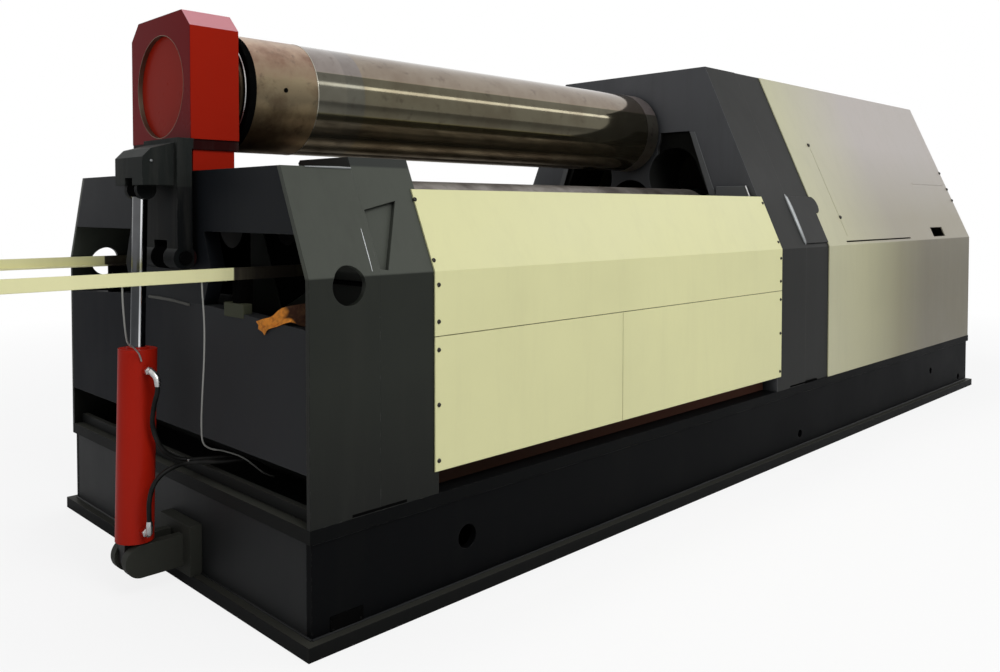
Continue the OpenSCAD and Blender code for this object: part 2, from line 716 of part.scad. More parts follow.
// A round tube swept along a list of points, with one ring of sides at each point
tube_sides = 8;
function unit(v) = v / norm(v);
function tangent(p, i) = unit(p[min(i + 1, len(p) - 1)] - p[max(i - 1, 0)]);
function ring_side(t) = unit(cross(t, abs(t[2]) > 0.9 ? [1, 0, 0] : [0, 0, 1]));
function ring(c, t, a, r) = let (b = cross(t, a))
    [for (k = [0:tube_sides - 1]) c + r * (a * cos(360 * k / tube_sides) + b * sin(360 * k / tube_sides))];
function carried(p, i) = i == 0 ? ring_side(tangent(p, 0))
    : let (a = carried(p, i - 1), t = tangent(p, i)) unit(a - (a * t) * t);
module tube(p, r) {
    n = len(p);
    rings = [for (i = [0:n - 1]) each ring(p[i], tangent(p, i), carried(p, i), r)];
    sides = [for (i = [0:n - 2]) for (k = [0:tube_sides - 1])
        let (a = i * tube_sides + k, b = i * tube_sides + (k + 1) % tube_sides)
            each [[a, b, b + tube_sides], [a, b + tube_sides, a + tube_sides]]];
    start = [[for (k = [tube_sides - 1:-1:0]) k]];
    end = [[for (k = [0:tube_sides - 1]) (n - 1) * tube_sides + k]];
    polyhedron(points = rings, faces = concat(start, sides, end));
}

// Points along a smooth curve through hand-chosen points, straight between the first two
function smooth(a, b, c, d, t) = 0.5 * (2 * b + (c - a) * t + (2 * a - 5 * b + 4 * c - d) * t * t
    + (3 * b - 3 * c + d - a) * t * t * t);
function curve(p, n) = [for (i = [0:len(p) - 2]) for (k = [0:n - 1])
    smooth(p[max(i - 1, 0)], p[i], p[i + 1], p[i == 0 ? 1 : min(i + 2, len(p) - 1)], k / n), p[len(p) - 1]];

hose_r = 9;
wire_r = 3;
upper_hose_route = [[-179.4, -237.4, 864.7], [-179.4, -262, 864.7], [-168, -284, 838], [-168, -286, 790], [-176, -274, 735],
    [-172, -252, 660], [-142, -244, 578], [-98, -246, 530], [-46, -262, 508], [20, -294, 506], [100, -338, 506],
    [180, -340, 476], [240, -340, 432]];
lower_hose_route = [[-196.6, -237.4, 258], [-196.6, -262, 258], [-202, -284, 286], [-205, -288, 335], [-203, -286, 385],
    [-188, -282, 436], [-158, -281, 472], [-110, -281, 494], [-50, -282, 500], [10, -318, 500], [60, -360, 500],
    [120, -392, 500], [190, -392, 472], [240, -392, 432]];
rail_wire_route = [[-133, -574, 1214.5], [-130, -572, 1170], [-118, -560, 1060], [-116, -552, 940], [-108, -520, 800],
    [-92, -480, 690], [-66, -440, 612], [-20, -410, 574], [40, -400, 552], [110, -420, 516], [180, -440, 450], [230, -440, 422.4]];
barrel_wire_route = [[-412, -574, 1214.5], [-408, -566, 1170], [-384, -520, 1090], [-340, -430, 1020], [-290, -330, 985],
    [-240, -250, 960], [-208, -222, 930], [-196, -216, 900]];

module upper_hose() color(hose_black) in_place() tube(curve(upper_hose_route, 2), hose_r);
module lower_hose() color(hose_black) in_place() tube(curve(lower_hose_route, 2), hose_r);
module rail_wire() color(chrome_grey) in_place() tube(rail_wire_route, wire_r);
module barrel_wire() color(chrome_grey) in_place() tube(barrel_wire_route, wire_r);

bed_flange();
bed_front_wall();
bed_rear_wall();
bed_left_wall();
bed_right_wall();
bed_top_plate();
left_sill();
left_end_plate();
left_lower_plate();
left_front_skin();
left_rear_skin();
left_top_plate();
left_bearing_plate();
drop_end_seat();
hinge_bracket();
hinge_pin();
drop_end_housing();
bearing_cover();
drop_end_lever();
cylinder_bracket();
cylinder_barrel();
cylinder_rod();
top_roll();
bottom_roll();
front_side_roll();
rear_side_roll();
bottom_left_block();
bottom_right_block();
front_left_block();
front_right_block();
rear_left_block();
rear_right_block();
right_bearing_plate();
right_front_skin();
right_rear_skin();
right_top_plate();
front_tie_beam();
rear_tie_beam();
front_upper_cover();
front_lower_left_cover();
front_lower_right_cover();
rear_upper_cover();
rear_lower_left_cover();
rear_lower_right_cover();
drive_front_cover();
drive_rear_cover();
drive_roof();
drive_end_cover();
front_rail();
rear_rail();
front_rail_supports();
rear_rail_supports();
upper_hose();
lower_hose();
rail_wire();
barrel_wire();
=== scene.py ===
import json
import math

import bmesh
import bpy
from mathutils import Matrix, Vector

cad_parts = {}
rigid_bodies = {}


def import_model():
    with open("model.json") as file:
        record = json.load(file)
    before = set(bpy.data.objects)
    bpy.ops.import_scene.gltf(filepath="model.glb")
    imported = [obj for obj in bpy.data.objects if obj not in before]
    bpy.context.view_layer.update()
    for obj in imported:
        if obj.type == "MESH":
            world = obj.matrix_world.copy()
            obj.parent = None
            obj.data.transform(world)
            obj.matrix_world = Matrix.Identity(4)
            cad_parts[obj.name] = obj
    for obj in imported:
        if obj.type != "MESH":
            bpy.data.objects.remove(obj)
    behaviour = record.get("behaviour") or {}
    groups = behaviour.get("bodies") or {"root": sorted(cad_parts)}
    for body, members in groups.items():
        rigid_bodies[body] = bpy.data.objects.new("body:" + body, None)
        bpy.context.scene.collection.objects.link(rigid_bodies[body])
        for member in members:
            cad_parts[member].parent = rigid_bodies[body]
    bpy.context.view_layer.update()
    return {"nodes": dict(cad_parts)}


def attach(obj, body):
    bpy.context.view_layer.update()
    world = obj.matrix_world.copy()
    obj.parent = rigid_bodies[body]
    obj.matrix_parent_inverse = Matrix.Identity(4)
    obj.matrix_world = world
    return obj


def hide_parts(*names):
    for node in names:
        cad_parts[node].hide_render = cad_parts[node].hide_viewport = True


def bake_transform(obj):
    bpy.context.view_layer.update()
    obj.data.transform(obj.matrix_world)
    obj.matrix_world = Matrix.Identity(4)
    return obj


# Only the machine is wanted in the scene, so what Blender starts with goes first.
for start_object in list(bpy.data.objects):
    bpy.data.objects.remove(start_object)
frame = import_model()
scene = bpy.context.scene
scene.view_settings.view_transform = "Standard"


# The camera stands a little way off the drop end's front corner, at eye height. Its lens
# looks level and is shifted down, so the machine's uprights stay upright in the picture.
camera = bpy.data.objects.new("camera", bpy.data.cameras.new("camera"))
scene.collection.objects.link(camera)
camera.location = (-4.851, -3.469, 1.4665)
camera.rotation_euler = (math.radians(88.28), 0, math.radians(-44.47))
camera.data.sensor_width = 36
camera.data.lens = 31.9
camera.data.shift_x = 0.018
camera.data.shift_y = -0.0993
scene.camera = camera


# Two hydraulic hoses run from the tilt cylinder's ports over the sill into the bed. Each
# is black rubber over steel braid, with a plated elbow and a swivel nut at its port, and
# hangs freely between them. A rubber tie with a bright clip holds the two together.
bed_half_length = 3250  # mm


def along_bed(x):
    """Metres along the frame's X from millimetres from the bed's drop end."""
    return (x - bed_half_length) / 1000


def at(x, y, z):
    """A place in metres from millimetres, with x measured from the bed's drop end."""
    return Vector((along_bed(x), y / 1000, z / 1000))


def add(tree, kind, inputs=(), **settings):
    """Adds a shader node, with its settings made and its sockets set or joined."""
    made = tree.nodes.new("ShaderNode" + kind)
    for key, value in settings.items():
        setattr(made, key, value)
    for key, value in dict(inputs).items():
        if isinstance(value, bpy.types.NodeSocket):
            tree.links.new(value, made.inputs[key])
        else:
            made.inputs[key].default_value = value
    return made.outputs


def new_material(name):
    """An empty material, its node tree and the place on the object in metres."""
    material = bpy.data.materials.new(name)
    material.use_nodes = True
    tree = material.node_tree
    tree.nodes.clear()
    return material, tree, add(tree, "TexCoord")["Object"]


def finished(material, tree, finish):
    """Gives a material its surface, from the values and sockets of its finish."""
    surface = add(tree, "BsdfPrincipled", finish)["BSDF"]
    add(tree, "OutputMaterial", {"Surface": surface})
    return material


def noise(tree, place, scale, detail, roughness=0.5):
    """A cloudy value from 0 to 1; scale is about how many clouds there are to a metre."""
    return add(tree, "TexNoise", {"Vector": place, "Scale": scale, "Detail": detail,
                                  "Roughness": roughness})["Fac"]


def spread(tree, value, low, high, from_low=0.3, from_high=0.7):
    """Spreads a range of a value, by default a noise's middle, between two others."""
    return add(tree, "MapRange", {"Value": value, "From Min": from_low, "From Max": from_high,
                                  "To Min": low, "To Max": high})["Result"]


def mix_colours(tree, share, first, second):
    """Blends two colours, each a socket or red, green and blue, by a share from 0 to 1."""
    first, second = [c if isinstance(c, bpy.types.NodeSocket) else (*c, 1)
                     for c in (first, second)]
    return add(tree, "Mix", {0: share, 6: first, 7: second}, data_type="RGBA")[2]


def rubber(name, colour, roughness, gloss=0.5):
    """Matte rubber or plastic with dust in its fine grain."""
    material, tree, place = new_material(name)
    grain = noise(tree, place, 420.0, 3.0)
    dust = noise(tree, place, 14.0, 5.0)
    paler_colour = (0.11, 0.105, 0.10)
    return finished(material, tree, {
        "Base Color": mix_colours(tree, spread(tree, dust, 0.0, 0.14, 0.45, 0.75), colour,
                                  paler_colour),
        "Roughness": roughness,
        "Specular IOR Level": gloss,
        "Normal": add(tree, "Bump", {"Height": grain, "Strength": 0.25,
                                     "Distance": 0.0006})["Normal"]})


def plated(name, colour, roughness, metal=1.0):
    """Plated or polished steel with faint stains and uneven shine."""
    material, tree, place = new_material(name)
    cloud = noise(tree, place, 22.0, 5.0)
    dull = [0.72 * c for c in colour]
    return finished(material, tree, {
        "Base Color": mix_colours(tree, spread(tree, cloud, 0.0, 0.45), colour, dull),
        "Metallic": metal,
        "Roughness": spread(tree, cloud, roughness - 0.06, roughness + 0.08)})


def side_directions(points):
    """The two side directions at each point of a path, turned as little as can be."""
    ways = [(points[min(i + 1, len(points) - 1)] - points[max(i - 1, 0)]).normalized()
            for i in range(len(points))]
    side = ways[0].cross(Vector((0.3, 0.2, 1))).normalized()
    sides = []
    for way in ways:
        side = (side - side.dot(way) * way).normalized()
        sides.append((side, way.cross(side)))
    return sides


def ring(centre, radius, a, b, sides):
    """Points round a centre, in the plane of two directions."""
    return [centre + radius * (math.cos(2 * math.pi * k / sides) * a
                               + math.sin(2 * math.pi * k / sides) * b) for k in range(sides)]


def joined_rings(rings, sides):
    """The faces that join each ring of points to the next one."""
    faces = []
    for i in range(rings - 1):
        here, there = i * sides, (i + 1) * sides
        for k in range(sides):
            n = (k + 1) % sides
            faces.append((here + k, here + n, there + n, there + k))
    return faces


def swept(points, radius, sides=12):
    """A round bar along a path; radius is a number or one number for each point."""
    radii = radius if isinstance(radius, (list, tuple)) else [radius] * len(points)
    verts = []
    for point, r, (a, b) in zip(points, radii, side_directions(points)):
        verts += ring(point, r, a, b, sides)
    last = (len(points) - 1) * sides
    ends = [tuple(reversed(range(sides))), tuple(last + k for k in range(sides))]
    return verts, joined_rings(len(points), sides) + ends


def turned(profile, origin, axis, sides=40):
    """A turned shape from (place along the axis, radius) pairs, in metres from the origin."""
    axis = axis.normalized()
    a = axis.orthogonal().normalized()
    b = axis.cross(a)
    verts = []
    for along, r in profile:
        verts += ring(origin + along * axis, r, a, b, sides)
    return verts, joined_rings(len(profile), sides)


def closed_box(corners):
    """A box from its eight corners, in the order of a count in x, y and z."""
    return corners, [(0, 1, 3, 2), (4, 6, 7, 5), (0, 4, 5, 1), (2, 3, 7, 6), (0, 2, 6, 4),
                     (1, 5, 7, 3)]


def block(x, y, z):
    """A rectangular bar from its two ends in each direction, in millimetres."""
    return closed_box([at(x[i], y[j], z[k]) for i in (0, 1) for j in (0, 1) for k in (0, 1)])


def piece(name, shapes, material, body="root", round_edges=0.0, sharp=32):
    """One object from several shapes, with its material, that rides on a body.

    Edges that turn by more than sharp degrees stay crisp; round_edges is in metres."""
    mesh = bpy.data.meshes.new(name)
    verts, faces = [], []
    for shape_verts, shape_faces in shapes:
        start = len(verts)
        verts += shape_verts
        faces += [tuple(start + i for i in face) for face in shape_faces]
    mesh.from_pydata(verts, [], faces)
    work = bmesh.new()
    work.from_mesh(mesh)
    same_place = 1e-6
    bmesh.ops.remove_doubles(work, verts=work.verts, dist=same_place)
    bmesh.ops.dissolve_degenerate(work, edges=work.edges, dist=same_place)
    bmesh.ops.recalc_face_normals(work, faces=work.faces)
    work.to_mesh(mesh)
    work.free()
    mesh.shade_smooth()
    mesh.set_sharp_from_angle(angle=math.radians(sharp))
    mesh.materials.append(material)
    made = bpy.data.objects.new(name, mesh)
    scene.collection.objects.link(made)
    if round_edges:
        bevel = made.modifiers.new("rounded edges", "BEVEL")
        bevel.width, bevel.segments, bevel.limit_method = round_edges, 2, "ANGLE"
        bevel.harden_normals = True
    if body:
        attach(made, body)
    return made


def smooth_path(points, steps, straight_start=True):
    """A smooth curve through points, as the CAD model draws it, with finer steps."""
    path = []
    for i in range(len(points) - 1):
        a, b, c = points[max(i - 1, 0)], points[i], points[i + 1]
        d = c if i == 0 and straight_start else points[min(i + 2, len(points) - 1)]
        for k in range(steps):
            t = k / steps
            path.append(0.5 * (2 * b + (c - a) * t + (2 * a - 5 * b + 4 * c - d) * t * t
                               + (3 * b - 3 * c + d - a) * t * t * t))
    return path + [points[-1]]


hose_black = rubber("hose rubber", (0.004, 0.004, 0.0035), 0.5, gloss=0.12)
zinc = plated("zinc plate", (0.58, 0.58, 0.57), 0.28)
hose_radius = 0.009
hose_steps = 5
outward = Vector((0, -1, 0))
hose_routes = {
    "upper_hose": [(-179.4, -237.4, 864.7), (-179.4, -262, 864.7), (-168, -284, 838),
                   (-168, -286, 790), (-176, -274, 735), (-172, -252, 660),
                   (-142, -244, 578), (-98, -246, 530), (-46, -262, 508), (20, -294, 506),
                   (100, -338, 506), (180, -340, 476), (240, -340, 432)],
    "lower_hose": [(-196.6, -237.4, 258), (-196.6, -262, 258), (-202, -284, 286),
                   (-205, -288, 335), (-203, -286, 385), (-188, -282, 436),
                   (-158, -281, 472), (-110, -281, 494), (-50, -282, 500), (10, -318, 500),
                   (60, -360, 500), (120, -392, 500), (190, -392, 472), (240, -392, 432)],
}
crimp_steps = slice(4, 14)
crimp_radii = [0.0108, 0.0125, 0.0120, 0.0125, 0.0120, 0.0125, 0.0120, 0.0125, 0.0120, 0.0102]
nut_profile = [(-0.004, 0.0), (-0.004, 0.0150), (-0.0025, 0.0160), (0.0105, 0.0160),
               (0.012, 0.0150), (0.012, 0.0115), (0.019, 0.0105), (0.019, 0.0)]
tie_x = -48
tie_loop = [(-262, 519), (-251.5, 513), (-250.5, 503), (-258, 496), (-276, 489.5), (-286, 489),
            (-293, 495), (-292, 505), (-285, 510.5), (-270, 517), (-262, 519)]
for node_name, route in hose_routes.items():
    path = smooth_path([at(*p) for p in route], hose_steps)
    port = path[0]
    hose = piece(f"{node_name}_rubber", [swept(path, hose_radius, 16)], hose_black,
                 body=None)
    crimp = piece(f"{node_name}_crimp", [swept(path[crimp_steps], crimp_radii, 20)], zinc,
                  body=None)
    nut = piece(f"{node_name}_nut", [turned(nut_profile, port, outward, 6)], zinc,
                "tilt_barrel", round_edges=0.0008)
    bending, fittings = [hose, crimp], [crimp, nut]
    if node_name == "upper_hose":
        tie = piece("hose_tie", [swept([at(tie_x, y, z) for y, z in tie_loop], 0.0016, 8)],
                    hose_black, body=None)
        clip = piece("hose_tie_clip", [block((-52, -44), (-292, -280), (508, 514))], zinc,
                     body=None, round_edges=0.001)
        bending += [tie, clip]
        fittings += [tie, clip]
    for part in bending:
        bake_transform(part)
    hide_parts(node_name)


# Two thin covered wires hang from the front rail. One runs down into the gap over the
# sill and the other to the cylinder's barrel, where it is taped on.
wire_grey = rubber("wire cover", (0.27, 0.27, 0.25), 0.5)
wire_radius = 0.003
wire_steps = 4
rail_wire_path = smooth_path([at(*p) for p in [
    (-133, -574, 1214.5), (-130, -572, 1170), (-118, -560, 1060), (-116, -552, 940),
    (-108, -520, 800), (-92, -480, 690), (-66, -440, 612), (-20, -410, 574),
    (40, -400, 552), (110, -420, 516), (180, -440, 450), (230, -440, 422.4)]],
    wire_steps, straight_start=False)
barrel_wire_path = smooth_path([at(*p) for p in [
    (-412, -574, 1214.5), (-408, -566, 1170), (-384, -520, 1090), (-340, -430, 1020),
    (-290, -330, 985), (-240, -250, 960), (-208, -222, 930), (-196, -216, 900)]],
    wire_steps, straight_start=False)
rail_wire = piece("rail_wire_cover", [swept(rail_wire_path, wire_radius, 10)], wire_grey)
barrel_wire = piece("barrel_wire_cover", [swept(barrel_wire_path, wire_radius, 10)],
                    wire_grey, body=None)
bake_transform(barrel_wire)
for wire, node_name, path in ((rail_wire, "rail_wire", rail_wire_path),
                              (barrel_wire, "barrel_wire", barrel_wire_path)):
    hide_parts(node_name)


# The floor is pale and plain. The room's light is soft, with a wide lamp in front of the
# machine and one above it, and a long thin one that draws the bright line on the top roll.
def times(tree, first, second):
    """The product of two shader values."""
    return add(tree, "Math", {0: first, 1: second}, operation="MULTIPLY")[0]


def plain_level(distance, share):
    """The watts at which a lamp gives that share of a plain level at its distance."""
    return share * math.pi ** 2 * distance ** 2


def wide_lamp(name, place, target, size, share, height=None):
    """A square or oblong lamp that faces a target."""
    light = bpy.data.lights.new(name, "AREA")
    light.shape = "RECTANGLE"
    light.size, light.size_y = size, height or size
    place, target = Vector(place), Vector(target)
    light.energy = plain_level((target - place).length, share)
    lamp = bpy.data.objects.new(name, light)
    lamp.location = place
    lamp.rotation_euler = (target - place).to_track_quat("-Z", "Y").to_euler()
    scene.collection.objects.link(lamp)


wide_lamp("front lamp", (-3.4, -8.4, 7.8), (-0.6, 0, 1.2), 5.0, 0.42)
wide_lamp("overhead lamp", (-1.7, 1.2, 8.6), (-0.8, 0, 1.8), 2.4, 0.30)
wide_lamp("ceiling strip", (5.0, -5.0, 5.4), (5.0, 0, 1.96), 7.8, 0.25, height=0.70)

white = (1, 1, 1, 1)
room = bpy.data.worlds.new("room")
room.use_nodes = True
tree = room.node_tree
tree.nodes.clear()
ray = add(tree, "LightPath")
seen = add(tree, "Math", {0: ray["Is Camera Ray"], 1: ray["Is Transmission Ray"]},
           operation="MAXIMUM")[0]
seen = add(tree, "Math", {0: seen, 1: ray["Is Glossy Ray"]}, operation="MAXIMUM")[0]
soft_light = add(tree, "Background", {"Color": (0.95, 0.97, 1.0, 1), "Strength": 0.39})[0]
backdrop = add(tree, "Background", {"Color": white, "Strength": 1.0})[0]
room_light = add(tree, "MixShader", {0: seen, 1: soft_light, 2: backdrop})[0]
add(tree, "OutputWorld", {"Surface": room_light})
scene.world = room

floor_reach, floor_z = 60, -0.001
floor_mesh = bpy.data.meshes.new("floor")
floor_mesh.from_pydata([(x * floor_reach, y * floor_reach, floor_z)
                        for x, y in ((-1, -1), (1, -1), (1, 1), (-1, 1))], [], [(0, 1, 2, 3)])
pale, tree, place = new_material("pale floor")
matte = add(tree, "BsdfPrincipled", {"Base Color": (0.84, 0.84, 0.84, 1),
                                     "Roughness": 0.9})["BSDF"]
glow = add(tree, "Emission", {"Color": white, "Strength": 1.0})["Emission"]
away = add(tree, "VectorMath", {0: place}, operation="LENGTH")["Value"]
glowing = times(tree, add(tree, "LightPath")["Is Camera Ray"],
                spread(tree, away, 0.84, 1.0, 4.5, 9.0))
add(tree, "OutputMaterial", {
    "Surface": add(tree, "MixShader", {0: glowing, 1: matte, 2: glow})["Shader"]})
floor_mesh.materials.append(pale)
floor = bpy.data.objects.new("floor", floor_mesh)
scene.collection.objects.link(floor)


# The bed is a welded box of thick steel plate with a flange all round its foot, painted
# dark grey by spray. Its seams are fillet welds, ground a little and painted over. A small
# plate is screwed on low at its drop end, and near-black strips at the frames' feet are
# painted shadow in the gaps there.
def part_of(tree, vector, axis):
    """How much of a vector lies along one axis."""
    return add(tree, "SeparateXYZ", {"Vector": vector})[axis]


def painted(name, colour, roughness, cloud=0.07, grime=(0.10, 0.095, 0.085), dust=0.25,
            chip=0.3, chip_colour=(0.20, 0.20, 0.19), gloss=0.3, hollow=0.0, zones=(),
            paler_tops=None, edge=0.004, worn=(0.52, 0.62)):
    """Sprayed paint on steel: fine orange peel, clouds, runs of dirt and chips at the edges.

    hollow is how far deep hollows are darkened, a painted shade. Each of the zones has a colour
    of its own, from a place along an axis to a place where it is full, and may hold only on
    faces that look one way. A share and a colour can make faces that look up paler, with an
    end along the bed if given; on the red paint that paler top is a painted reflection. edge
    is how broad the worn edges are in metres, and worn is the range of the noise over which
    the bare steel comes through there."""
    material, tree, place = new_material(name)
    way = add(tree, "TexCoord")["Normal"]
    broad = noise(tree, place, 1.6, 5.0, 0.6)
    fine = noise(tree, place, 38.0, 6.0, 0.65)
    peel = noise(tree, place, 190.0, 2.0)
    run = add(tree, "Mapping", {"Vector": place, "Scale": (5.0, 5.0, 0.5)})["Vector"]
    streak = noise(tree, run, 2.2, 6.0, 0.7)
    paint = colour
    for axis, begins, full, zone_colour, *faces_way in zones:
        zone = spread(tree, part_of(tree, place, axis), 0.0, 1.0, begins, full)
        if faces_way:
            toward = add(tree, "VectorMath", {0: way, 1: faces_way[0]},
                         operation="DOT_PRODUCT")["Value"]
            zone = times(tree, zone, spread(tree, toward, 0.0, 1.0, 0.6, 0.8))
        paint = mix_colours(tree, zone, paint, zone_colour)
    paint = add(tree, "VectorMath", {0: paint, "Scale": spread(tree, broad, 1 - cloud, 1 + cloud)},
                operation="SCALE")[0]
    paint = mix_colours(tree, spread(tree, streak, 0.0, dust, 0.48, 0.8), paint, grime)
    # Faces that look up are made paler by a share and a colour; on the red paint this is a painted
    # reflection.
    if paler_tops:
        share, paler_colour, *ends = paler_tops
        lies = spread(tree, part_of(tree, way, "Z"), 0.0, share, 0.45, 0.7)
        if ends:
            lies = times(tree, lies, spread(tree, part_of(tree, place, "X"), 0.0, 1.0, *ends))
        paint = mix_colours(tree, lies, paint, paler_colour)
    rounded = add(tree, "Bevel", {"Radius": edge}, samples=4)["Normal"]
    turn = add(tree, "VectorMath", {0: rounded, 1: add(tree, "NewGeometry")["Normal"]},
               operation="DOT_PRODUCT")["Value"]
    rim = spread(tree, turn, 1.0, 0.0, 0.80, 0.97)
    bare = times(tree, times(tree, rim, spread(tree, fine, 0.0, 1.0, *worn)), chip)
    paint = mix_colours(tree, bare, paint, chip_colour)
    # Deep hollows are darkened by ambient occlusion, a painted shade.
    if hollow:
        sky = add(tree, "AmbientOcclusion", {"Distance": 0.4}, samples=4)["AO"]
        unlit = [0.15 * c for c in colour]
        paint = mix_colours(tree, spread(tree, sky, hollow, 0.0, 0.2, 0.75), paint, unlit)
    return finished(material, tree, {
        "Base Color": paint,
        "Roughness": spread(tree, broad, roughness - 0.05, roughness + 0.07),
        "Specular IOR Level": gloss,
        "Normal": add(tree, "Bump", {"Height": peel, "Strength": 0.12, "Distance": 0.0008,
                                     "Normal": rounded})["Normal"]})


def dress(nodes, material):
    """Gives CAD nodes their finish."""
    for name in nodes:
        for held in frame["nodes"][name].material_slots:
            held.material = material


def weld_bead(points, radius=0.006, step=0.05):
    """A fillet weld along a path, a little rippled."""
    path = []
    for a, b in zip(points, points[1:]):
        steps = max(2, int((b - a).length / step))
        path += [a.lerp(b, k / steps) for k in range(steps)]
    path.append(points[-1])
    radii = [radius * (1 + 0.10 * math.sin(7.1 * i) + 0.06 * math.sin(3.3 * i + 1))
             for i in range(len(path))]
    return swept(path, radii, 8)


def button_head(place, way, radius=0.0075, height=0.005):
    """A button head screw with a socket in its top, seated at a place and facing a way."""
    seat = -0.001
    profile = [(0.3, 1), (0.75, 0.82), (1, 0.55), (1, 0.34), (0.4, 0.30), (0.4, 0)]
    rings = [(seat, 0), (seat, radius)] + [(rise * height, r * radius) for rise, r in profile]
    return turned(rings, place, way, 14)


# These greys are darkened in hollows as painted shade.
bed_grey = painted("bed grey paint", (0.0105, 0.0112, 0.0116), 0.46,
                   grime=(0.028, 0.027, 0.024), gloss=0.12, hollow=0.6)
# The long walls are painted a far darker grey than the end walls, as shade.
wall_grey = painted("bed wall grey paint", (0.0025, 0.0027, 0.0031), 0.46,
                    grime=(0.008, 0.008, 0.007), gloss=0.03, hollow=0.6)
# The top plate is painted as dark as the long walls, as shade, except its end face, which has the
# end walls' grey; its top near the end is made paler.
ledge_grey = painted(
    "bed ledge grey paint", (0.0028, 0.0030, 0.0032), 0.46, grime=(0.008, 0.008, 0.007),
    gloss=0.03, hollow=0.5, chip=0.1,
    zones=[("X", along_bed(4), along_bed(2), (0.0100, 0.0102, 0.0098), (-1, 0, 0))],
    paler_tops=(0.95, (0.075, 0.076, 0.064), along_bed(44), along_bed(34)))
# The flange's edges carry a broad, nearly unbroken pale line, a painted highlight, and its tops
# are made paler.
rim_grey = painted(
    "bed rim grey paint", (0.0065, 0.0068, 0.0066), 0.46, grime=(0.014, 0.013, 0.011),
    gloss=0.04, hollow=0.5, chip=0.35, chip_colour=(0.060, 0.058, 0.050), edge=0.006,
    worn=(0.30, 0.5), paler_tops=(0.8, (0.050, 0.050, 0.042)))
# This near-black is the finish of black steel parts and also painted shade: on the rail posts, the
# roll blocks inside the frames and the strips at the frames' feet.
near_black = painted("near black steel and painted shade", (0.0025, 0.0025, 0.0025), 0.6,
                     grime=(0.006, 0.005, 0.0045), gloss=0.0, chip=0.1)
dress(["bed_left_wall", "bed_right_wall"], bed_grey)
dress(["bed_flange"], rim_grey)
dress(["bed_top_plate"], ledge_grey)
dress(["bed_front_wall", "bed_rear_wall"], wall_grey)
wall_x0, wall_x1, wall_y = 12, 6488, 1028
flange_top, top_plate_foot = 50, 372
piece("bed_welds", [
    weld_bead([at(wall_x0, -wall_y, z), at(wall_x1, -wall_y, z), at(wall_x1, wall_y, z),
               at(wall_x0, wall_y, z), at(wall_x0, -wall_y, z)])
    for z in (flange_top, top_plate_foot)], bed_grey, sharp=60)
cover_out = wall_y + 3
frames_stand = ((169, 407), (3324, 3674))
for side, name in ((-1, "front"), (1, "rear")):
    plate_screws = [button_head(at(x, side * cover_out, z), Vector((0, side, 0)), 0.005, 0.003)
                    for x in (94, 210) for z in (62, 97)]
    cover = block((84, 220), (side * (wall_y - 1), side * cover_out), (53, 106))
    piece(f"{name}_levelling_cover", [cover] + plate_screws, near_black,
          round_edges=0.001)
    # Near-black strips at the frames' feet are painted shadow of the gaps there.
    piece(f"{name}_foot_gap_shadows", [block(x, (side * 1038, side * 1040.4), (423, 433))
                                for x in frames_stand], near_black)


# The drop end's frame is cut from thick plate and welded: an outer end plate with two
# windows, side skins, a top plate and the bearing plate with its guide ears. Its sides
# stand upright and then lean in, and two of their edges are ground bare.
# The frame's grey is painted darker towards the bottom as shade, and lighter above the fold at
# 1.24 m, most of all up to 1.62 m high, as painted light on the leaning faces.
machine_grey = painted(
    "machine grey paint", (0.0138, 0.0158, 0.0122), 0.42, grime=(0.026, 0.027, 0.022),
    gloss=0.14, hollow=0.85, zones=[("Z", 0.90, 0.42, (0.0050, 0.0055, 0.0045)),
                                    ("Z", 1.238, 1.246, (0.0540, 0.0590, 0.0480)),
                                    ("Z", 1.620, 1.628, (0.0190, 0.0215, 0.0190))])
# The end plate is painted a darker copy of the frame's grey, as shade.
end_grey = painted("end plate grey paint", (0.0068, 0.0080, 0.0100), 0.44,
                   grime=(0.018, 0.018, 0.018), gloss=0.06, hollow=0.85)
# The lower plate is painted lighter at the front and dark towards the rear, as shade in the
# window.
apron_grey = painted("apron grey paint", (0.0300, 0.0310, 0.0330), 0.44,
                     grime=(0.030, 0.030, 0.028), gloss=0.03, hollow=0.7,
                     zones=[("Y", -0.30, 0.25, (0.0055, 0.0062, 0.0085))])
# The sill's edges carry a broad, nearly unbroken pale line, a painted highlight, and its top is
# made paler.
sill_grey = painted(
    "sill grey paint", (0.0120, 0.0125, 0.0120), 0.46, grime=(0.020, 0.019, 0.016),
    gloss=0.04, chip=0.5, chip_colour=(0.060, 0.058, 0.050), edge=0.006, worn=(0.30, 0.5),
    paler_tops=(0.95, (0.075, 0.076, 0.066)))
# The bead along the lower plate's top edge is painted light grey, a painted highlight.
edge_highlight_grey = painted("edge highlight grey paint", (0.070, 0.070, 0.062), 0.5, gloss=0.15)
bright_edge = plated("ground bare steel", (0.25, 0.26, 0.26), 0.45)
dress(["left_end_plate"], end_grey)
dress(["left_lower_plate"], apron_grey)
dress(["left_sill"], sill_grey)
dress(["left_front_skin", "left_rear_skin", "left_top_plate", "left_bearing_plate"],
      machine_grey)
dress(["front_rail_supports", "rear_rail_supports"], near_black)
# A bead along the lower plate's top edge carries that painted highlight.
piece("lower_plate_edge_highlight", [weld_bead([at(-1, y, z) for y, z in (
    (149, 1105), (60, 1106), (-60, 1105), (-211, 1097))])], edge_highlight_grey,
    sharp=60)
frame_half_width, fold_z, side_lean = 1040, 1241, math.radians(24)


def side_place(x, z, out=0.0, side=-1):
    """A place on the frames' long side at a height, moved straight out of that face."""
    if z <= fold_z:
        return at(x, side * (frame_half_width + out), z)
    half = frame_half_width - (z - fold_z) * math.tan(side_lean)
    return at(x, side * (half + out * math.cos(side_lean)), z + out * math.sin(side_lean))


